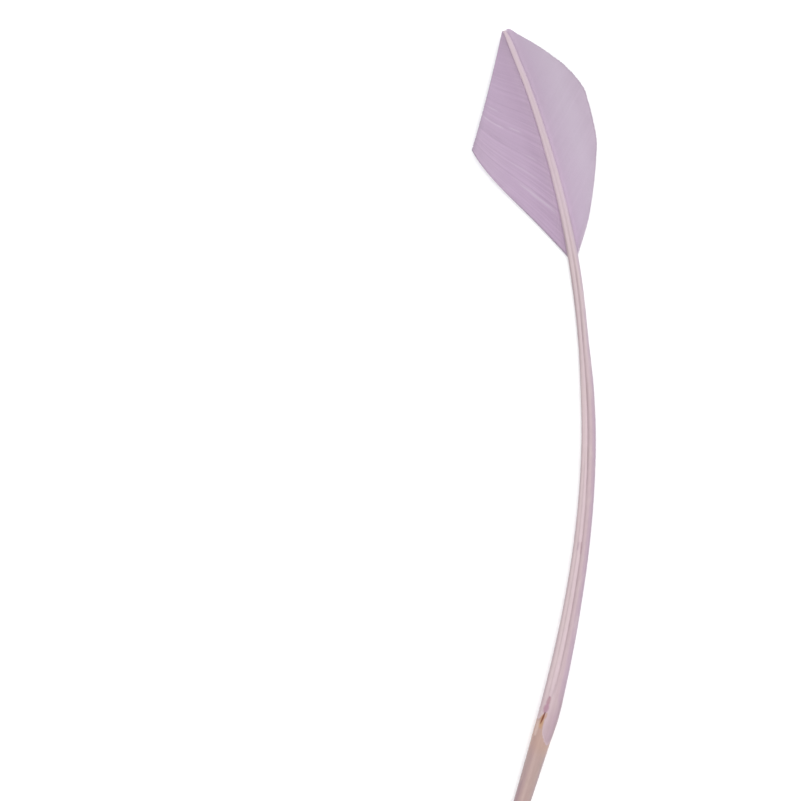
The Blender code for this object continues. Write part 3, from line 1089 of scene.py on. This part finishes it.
def barb_material(
    name, bands, widest, painted_root_light, painted_shaft_light, contrast, fall, tip_fall, streaks, rim, painted_low_edge
):
    """Dyed barbs. Bands are screen colours from the shaft out to the widest, in mm.

    Root light is a paler colour painted within a few mm of the shaft's middle, and shaft light
    how much paler the lowest barbs are right at the shaft: both are painted light against the
    shade beside it. Contrast is between barbs. Fall is how much darker the vane is at its top
    than at its foot, and tip fall how much darker again its last sixth ends. A streak is a
    share of the vane, the parts of a barb where it starts and ends, and its strength. Rim is
    the colour of the cut ends, and low edge the share of the vane that its lowest barbs are of,
    and their
    colour: painted darker as shade on the wide vane, and paler as painted light on the narrow
    one.
    """
    made, tree, shader = new_material(
        name,
        {
            "IOR": 1.54, "Specular IOR Level": 0.3, "Sheen Weight": 0.12,
            "Sheen Roughness": 0.5,
        },
    )
    out, along = attribute(tree, "out_mm"), attribute(tree, "along")
    tint, share = attribute(tree, "tint"), attribute(tree, "share")
    clouds = speckle(tree, 70.0)
    drift = linear(tree, clouds, 0.30, -0.15)
    band_place = maths(tree, "DIVIDE", out, widest)
    colour = ramp(tree, maths(tree, "ADD", band_place, drift, clamp=True), bands)
    # Painted light: paler near the shaft's middle, against the shade beside it
    colour = blended(tree, step_over(tree, out, *PAINTED_ROOT_LIGHT_BELOW), colour, painted_root_light)
    wisps = grain(tree, (tint, along, clouds), (9.0, 3.0, 2.0))
    wisps = maths(tree, "SUBTRACT", wisps, 0.5)
    plainer = linear(tree, share, -contrast, 1.3 * contrast)
    tone = product(tree, maths(tree, "ADD", tint, wisps), plainer)
    tone = maths(tree, "ADD", tone, linear(tree, share, -fall, 1 + 0.45 * fall))
    near_tip = step_over(tree, share, TIP_FALL_FROM, 1.0)
    tone = linear(tree, near_tip, -tip_fall, tone)
    # Painted light: the barbs right at the shaft's side are made paler, against its shade
    from_shaft = linear(tree, share, HALF_WIDTHS[0] - HALF_WIDTHS[1], out)
    painted_light_at_shaft = step_over(tree, from_shaft, HALF_WIDTHS[0] + PAINTED_SHAFT_LIGHT_REACH, HALF_WIDTHS[0])
    lift = linear(tree, share, -0.6 * painted_shaft_light, painted_shaft_light)
    tone = linear(tree, painted_light_at_shaft, lift, tone)
    colour = scaled(tree, colour, tone)
    slanted = linear(tree, along, 0.02, share)
    for middle, start, end, strength in streaks:
        off = maths(tree, "ABSOLUTE", maths(tree, "SUBTRACT", slanted, middle))
        line = step_over(tree, off, STREAK_REACH, 0.3 * STREAK_REACH)
        starts = step_over(tree, along, start - STREAK_FADE, start + STREAK_FADE)
        ends = step_over(tree, along, end + STREAK_FADE, end - STREAK_FADE)
        colour = blended(
            tree, product(tree, line, starts, ends, strength), colour, STREAK_COLOUR
        )
    cut = product(tree, step_over(tree, along, *CUT_ENDS_FROM), 0.5)
    colour = blended(tree, cut, colour, rim)
    # Painted shade along the wide vane's lower edge, where its lowest barb's side faces away
    # from the lamp, and painted light on the narrow vane's lowest barbs, against the shade
    # between them
    low_share, low_colour = painted_low_edge
    lowest = step_over(tree, share, low_share, 0.4 * low_share)
    lowest = product(tree, lowest, step_over(tree, along, *PAINTED_LOW_EDGE_UP_TO), 0.75)
    colour = blended(tree, lowest, colour, low_colour)
    gloss = linear(tree, wisps, 0.15, 0.58)
    barbules = grain(tree, (along, tint), (260.0, 40.0), detail=1.0)
    surfaced(tree, shader, colour, gloss, barbules, 0.2, 0.00004)
    return made


# Wide vane, on the left: the inner vane, whose long barbs were cut off straight from the tip
# down to a pointed corner. Its lowest barb makes the slanting edge below, painted darker there
# as shade. It is painted a little darker than the narrow vane, and single barbs show as faint
# pale streaks.
wide_barbs = barb_material(
    "wide_vane_barbs",
    bands=(
        (0.00, 191, 166, 191), (0.40, 194, 170, 195), (1.00, 198, 176, 198),
    ),
    widest=28.0,
    painted_root_light=paint(198, 174, 197),
    painted_shaft_light=0.19,
    contrast=0.20,
    fall=0.14,
    tip_fall=0.10,
    streaks=(
        (0.184, 0.10, 0.46, 0.75), (0.176, 0.06, 0.34, 0.55), (0.507, 0.38, 0.55, 0.5),
        (0.489, 0.66, 0.98, 0.55), (0.293, 0.22, 0.56, 0.35), (0.577, 0.76, 0.95, 0.4),
        (0.391, 0.20, 0.33, 0.35), (0.200, 0.30, 0.52, 0.35),
    ),
    rim=paint(176, 160, 178),
    painted_low_edge=(0.015, paint(150, 132, 150)),
)
wide_mesh = vane(
    "wide_vane_barbs",
    -1,
    ((-0.0244, 0.1808), (-0.0231, 0.1850), (-0.0146, 0.2189)),
    (0.0, -0.0003),
    {
        **BOTH_VANES, "Material": wide_barbs, "Tip Spread": 1.6, "Bow": 0.0012,
        "Lean": 3.0, "Ripple": 0.0006, "Ripple Scale": 9.0,
        "Loose": 0.00006, "Ragged": 0.012, "Seed": 3,
    },
)
finished("wide_vane_barbs", wide_mesh, "wide_barbs", "wide_vane")


# Narrow vane, on the right: the outer vane, with shorter and stiffer barbs that lie closer to
# the shaft, trimmed to a full curve. It is smoother and paler than the wide one, in soft
# bands that follow the shaft.
narrow_barbs = barb_material(
    "narrow_vane_barbs",
    bands=(
        (0.00, 200, 177, 202), (0.35, 203, 184, 204), (0.65, 204, 187, 205),
        (1.00, 198, 180, 198),
    ),
    widest=15.0,
    painted_root_light=paint(206, 184, 206),
    painted_shaft_light=0.20,
    contrast=0.05,
    fall=0.22,
    tip_fall=0.0,
    streaks=(),
    rim=paint(180, 164, 178),
    painted_low_edge=(0.035, paint(212, 194, 211)),
)
narrow_mesh = vane(
    "narrow_vane_barbs",
    1,
    (
        (0.0132, 0.1591), (0.0158, 0.1840), (0.0120, 0.2000), (0.0017, 0.2109),
        (-0.0095, 0.2178), (-0.0121, 0.2196), (-0.0131, 0.2195),
    ),
    (0.0005, 0.0003, 0.0009, 0.0003, 0.0, 0.0),
    {
        **BOTH_VANES, "Material": narrow_barbs, "Tip Spread": 0.75, "Bow": 0.0001,
        "Lean": 1.0, "Ripple": 0.0003, "Ripple Scale": 7.0,
        "Loose": 0.00004, "Ragged": 0.022, "Seed": 11,
    },
)
finished("narrow_vane_barbs", narrow_mesh, "narrow_barbs", "narrow_vane")
